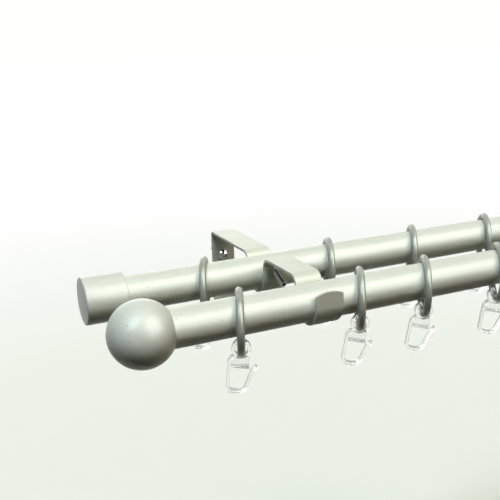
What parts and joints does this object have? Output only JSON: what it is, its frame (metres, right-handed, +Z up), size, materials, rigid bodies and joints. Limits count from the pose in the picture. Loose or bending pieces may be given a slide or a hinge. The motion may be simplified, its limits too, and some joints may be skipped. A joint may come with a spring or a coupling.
{
  "type": "extendable double curtain rod",
  "caption": "Double curtain rod: telescoping tubes on folded strip wall brackets, with ball and cylinder ends, sliding rings and swinging clear hooks.",
  "frame": {"origin": "middle of the four wall screws, on the wall plane", "axes": "+X along the rods to the right, +Y into the wall, +Z up"},
  "size_m": [0.7244, 0.2372, 0.0947],
  "materials": {
    "tube_paint": "satin silver paint with fine metal flake",
    "finial_paint": "satin silver paint",
    "bracket_paint": "satin silver paint on folded steel strip",
    "screw_chrome": "bright plated steel",
    "ring_plastic": "semi-gloss silver grey plastic",
    "hook_clear": "clear colourless plastic"
  },
  "bodies": {
    "wall_set": {"left_bracket": "bracket_paint", "right_bracket": "bracket_paint", "left_wall_screws": "screw_chrome", "right_wall_screws": "screw_chrome", "left_set_screws": "screw_chrome", "right_set_screws": "screw_chrome", "front_outer_tube": "tube_paint", "rear_outer_tube": "tube_paint", "front_left_ball": "finial_paint", "rear_left_cap": "finial_paint"},
    "front_slider": {"front_inner_tube": "tube_paint", "front_right_ball": "finial_paint"},
    "rear_slider": {"rear_inner_tube": "tube_paint", "rear_right_cap": "finial_paint"},
    "front_ring_1": {"front_ring_1": "ring_plastic"},
    "front_hook_1": {"front_hook_1": "hook_clear"},
    "front_ring_2": {"front_ring_2": "ring_plastic"},
    "front_hook_2": {"front_hook_2": "hook_clear"},
    "front_ring_3": {"front_ring_3": "ring_plastic"},
    "front_hook_3": {"front_hook_3": "hook_clear"},
    "front_ring_4": {"front_ring_4": "ring_plastic"},
    "front_hook_4": {"front_hook_4": "hook_clear"},
    "front_ring_5": {"front_ring_5": "ring_plastic"},
    "front_hook_5": {"front_hook_5": "hook_clear"},
    "front_ring_6": {"front_ring_6": "ring_plastic"},
    "front_hook_6": {"front_hook_6": "hook_clear"},
    "rear_ring_1": {"rear_ring_1": "ring_plastic"},
    "rear_hook_1": {"rear_hook_1": "hook_clear"},
    "rear_ring_2": {"rear_ring_2": "ring_plastic"},
    "rear_hook_2": {"rear_hook_2": "hook_clear"},
    "rear_ring_3": {"rear_ring_3": "ring_plastic"},
    "rear_hook_3": {"rear_hook_3": "hook_clear"},
    "rear_ring_4": {"rear_ring_4": "ring_plastic"},
    "rear_hook_4": {"rear_hook_4": "hook_clear"},
    "rear_ring_5": {"rear_ring_5": "ring_plastic"},
    "rear_hook_5": {"rear_hook_5": "hook_clear"},
    "rear_ring_6": {"rear_ring_6": "ring_plastic"},
    "rear_hook_6": {"rear_hook_6": "hook_clear"}
  },
  "joints": [
    {"name": "front_extension", "type": "slide", "parent": "wall_set", "child": "front_slider", "axis": [1, 0, 0], "range_m": [-0.015, 0.45]},
    {"name": "rear_extension", "type": "slide", "parent": "wall_set", "child": "rear_slider", "axis": [1, 0, 0], "range_m": [-0.02, 0.45]},
    {"name": "front_ring_1_slide", "type": "slide", "parent": "wall_set", "child": "front_ring_1", "axis": [1, 0, 0], "range_m": [-0.03, 0.036]},
    {"name": "front_hook_1_swing", "type": "hinge", "parent": "front_ring_1", "child": "front_hook_1", "pos_m": [-0.268, -0.184, 0.0091], "axis": [0.3827, 0.9239, 0], "range_deg": [-25, 20]},
    {"name": "front_ring_2_slide", "type": "slide", "parent": "wall_set", "child": "front_ring_2", "axis": [1, 0, 0], "range_m": [-0.009, 0.033]},
    {"name": "front_hook_2_swing", "type": "hinge", "parent": "front_ring_2", "child": "front_hook_2", "pos_m": [-0.17, -0.184, 0.0091], "axis": [0.4633, 0.8862, 0], "range_deg": [-25, 20]},
    {"name": "front_ring_3_slide", "type": "slide", "parent": "wall_set", "child": "front_ring_3", "axis": [1, 0, 0], "range_m": [-0.033, 0.047]},
    {"name": "front_hook_3_swing", "type": "hinge", "parent": "front_ring_3", "child": "front_hook_3", "pos_m": [-0.111, -0.184, 0.0091], "axis": [0.4787, 0.878, 0], "range_deg": [-25, 20]},
    {"name": "front_ring_4_slide", "type": "slide", "parent": "wall_set", "child": "front_ring_4", "axis": [1, 0, 0], "range_m": [-0.047, 0.108]},
    {"name": "front_hook_4_swing", "type": "hinge", "parent": "front_ring_4", "child": "front_hook_4", "pos_m": [-0.038, -0.184, 0.0091], "axis": [0.4787, 0.878, 0], "range_deg": [-25, 20]},
    {"name": "front_ring_5_slide", "type": "slide", "parent": "wall_set", "child": "front_ring_5", "axis": [1, 0, 0], "range_m": [-0.108, 0.084]},
    {"name": "front_hook_5_swing", "type": "hinge", "parent": "front_ring_5", "child": "front_hook_5", "pos_m": [0.096, -0.184, 0.0091], "axis": [0.309, 0.9511, 0], "range_deg": [-25, 20]},
    {"name": "front_ring_6_slide", "type": "slide", "parent": "wall_set", "child": "front_ring_6", "axis": [1, 0, 0], "range_m": [-0.033, 0.02]},
    {"name": "front_hook_6_swing", "type": "hinge", "parent": "front_ring_6", "child": "front_hook_6", "pos_m": [0.2654, -0.184, 0.0091], "axis": [0.2419, 0.9703, 0], "range_deg": [-25, 20]},
    {"name": "rear_ring_1_slide", "type": "slide", "parent": "wall_set", "child": "rear_ring_1", "axis": [1, 0, 0], "range_m": [-0.045, 0.03]},
    {"name": "rear_hook_1_swing", "type": "hinge", "parent": "rear_ring_1", "child": "rear_hook_1", "pos_m": [-0.261, -0.098, 0.0091], "axis": [0.4163, 0.9092, 0], "range_deg": [-25, 20]},
    {"name": "rear_ring_2_slide", "type": "slide", "parent": "wall_set", "child": "rear_ring_2", "axis": [1, 0, 0], "range_m": [-0.033, 0.06]},
    {"name": "rear_hook_2_swing", "type": "hinge", "parent": "rear_ring_2", "child": "rear_hook_2", "pos_m": [-0.1466, -0.098, 0.0091], "axis": [0.3746, 0.9272, 0], "range_deg": [-25, 20]},
    {"name": "rear_ring_3_slide", "type": "slide", "parent": "wall_set", "child": "rear_ring_3", "axis": [1, 0, 0], "range_m": [-0.06, 0.057]},
    {"name": "rear_hook_3_swing", "type": "hinge", "parent": "rear_ring_3", "child": "rear_hook_3", "pos_m": [-0.06, -0.098, 0.0091], "axis": [0.4787, 0.878, 0], "range_deg": [-25, 20]},
    {"name": "rear_ring_4_slide", "type": "slide", "parent": "wall_set", "child": "rear_ring_4", "axis": [1, 0, 0], "range_m": [-0.057, 0.071]},
    {"name": "rear_hook_4_swing", "type": "hinge", "parent": "rear_ring_4", "child": "rear_hook_4", "pos_m": [0.023, -0.098, 0.0091], "axis": [0.4787, 0.878, 0], "range_deg": [-25, 20]},
    {"name": "rear_ring_5_slide", "type": "slide", "parent": "wall_set", "child": "rear_ring_5", "axis": [1, 0, 0], "range_m": [-0.071, 0.06]},
    {"name": "rear_hook_5_swing", "type": "hinge", "parent": "rear_ring_5", "child": "rear_hook_5", "pos_m": [0.12, -0.098, 0.0091], "axis": [0.2756, 0.9613, 0], "range_deg": [-25, 20]},
    {"name": "rear_ring_6_slide", "type": "slide", "parent": "wall_set", "child": "rear_ring_6", "axis": [1, 0, 0], "range_m": [-0.04, 0.015]},
    {"name": "rear_hook_6_swing", "type": "hinge", "parent": "rear_ring_6", "child": "rear_hook_6", "pos_m": [0.27165, -0.098, 0.0091], "axis": [0.2079, 0.9781, 0], "range_deg": [-25, 20]}
  ]
}
